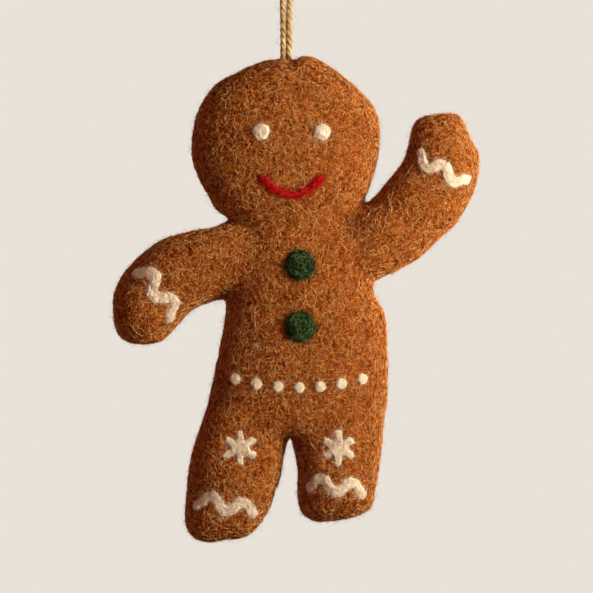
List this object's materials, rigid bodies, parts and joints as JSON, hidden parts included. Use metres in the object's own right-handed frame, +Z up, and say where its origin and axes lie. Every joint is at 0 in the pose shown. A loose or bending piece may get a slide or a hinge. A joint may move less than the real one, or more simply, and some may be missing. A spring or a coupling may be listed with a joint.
{
  "type": "felt christmas ornament",
  "caption": "Needle-felted gingerbread figure with one arm raised, trimmed with cream, red and green wool, hanging from a twine loop on which it turns and sways.",
  "frame": {"origin": "where a hook or twig carries the twine loop: the underside of the loop's top bend", "axes": "+Z up along the twine, +X to the right as seen from the front, the face looks along -Y"},
  "size_m": [0.0921, 0.0276, 0.1602],
  "materials": {
    "brown_wool": "matte felted wool with loose fibres",
    "core_wool": "matte undyed wool batting, felted firm",
    "white_wool": "matte cream wool roving",
    "red_wool": "matte red wool roving",
    "green_wool": "matte dark green wool roving, wound in a spiral",
    "twine": "matte two-ply jute twine"
  },
  "bodies": {
    "hanging_loop": {"hanging_twine": "twine"},
    "knot": {"stopper_knot": "twine"},
    "figure": {"head_coat": "brown_wool", "head_core": "core_wool", "torso_coat": "brown_wool", "torso_core": "core_wool", "raised_arm_coat": "brown_wool", "raised_arm_core": "core_wool", "lowered_arm_coat": "brown_wool", "lowered_arm_core": "core_wool", "straight_leg_coat": "brown_wool", "straight_leg_core": "core_wool", "slanted_leg_coat": "brown_wool", "slanted_leg_core": "core_wool", "right_eye": "white_wool", "left_eye": "white_wool", "raised_arm_cuff": "white_wool", "lowered_arm_cuff": "white_wool", "straight_leg_cuff": "white_wool", "slanted_leg_cuff": "white_wool", "straight_leg_snowflake": "white_wool", "slanted_leg_snowflake": "white_wool", "belt_dot_1": "white_wool", "belt_dot_2": "white_wool", "belt_dot_3": "white_wool", "belt_dot_4": "white_wool", "belt_dot_5": "white_wool", "belt_dot_6": "white_wool", "belt_dot_7": "white_wool", "smile": "red_wool", "upper_button": "green_wool", "lower_button": "green_wool"}
  },
  "joints": [
    {"name": "turn", "type": "hinge", "parent": "hanging_loop", "child": "knot", "pos_m": [0, 0, -0.0415], "axis": [0, 0, 1], "range_deg": [-180, 180]},
    {"name": "sway", "type": "hinge", "parent": "knot", "child": "figure", "pos_m": [0, 0, -0.0415], "axis": [0, 1, 0], "range_deg": [-20, 20]}
  ]
}
